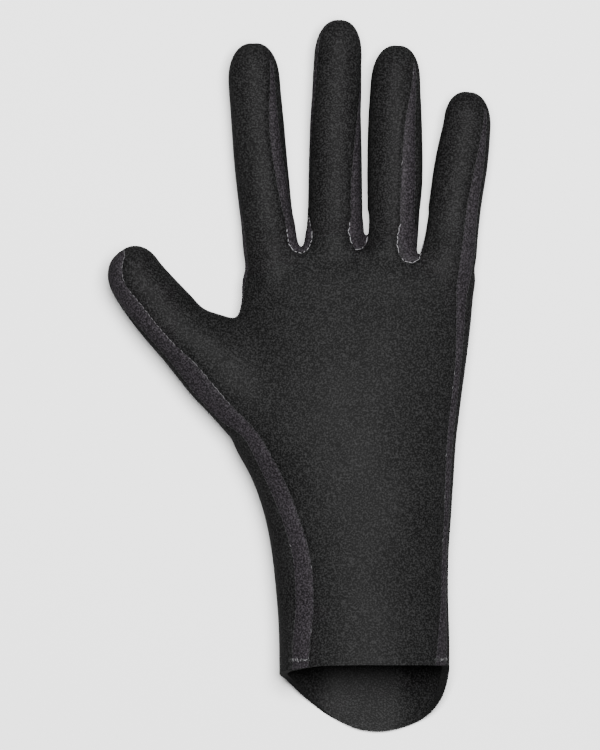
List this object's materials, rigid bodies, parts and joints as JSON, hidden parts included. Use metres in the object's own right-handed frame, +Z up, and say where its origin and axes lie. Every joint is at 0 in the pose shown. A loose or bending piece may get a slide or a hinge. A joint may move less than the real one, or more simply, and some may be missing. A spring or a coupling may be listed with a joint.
{
  "type": "neoprene glove",
  "caption": "Left-hand neoprene glove: palm and back panels joined by narrow side strips, open at the wrist, with a rounded tongue behind the cuff.",
  "frame": {"origin": "on the surface that the glove lies on, under the middle of its bounding box", "axes": "+X across the hand from the thumb towards the little finger, +Y from the wrist hem towards the fingertips, +Z up, out of the palm; the glove lies on its back"},
  "size_m": [0.1533, 0.2847, 0.042],
  "materials": {
    "palm_knit": "matt black knit bonded to foam",
    "back_knit": "matt black knit bonded to foam",
    "strip_knit": "smoother charcoal knit with a hint of purple"
  },
  "bodies": {
    "root": {"palm_panel": "palm_knit", "back_panel": "back_knit", "thumb_side_strip": "strip_knit", "little_side_strip": "strip_knit", "thumb_index_gusset": "strip_knit", "index_middle_gusset": "strip_knit", "middle_ring_gusset": "strip_knit", "ring_little_gusset": "strip_knit"}
  },
  "joints": []
}
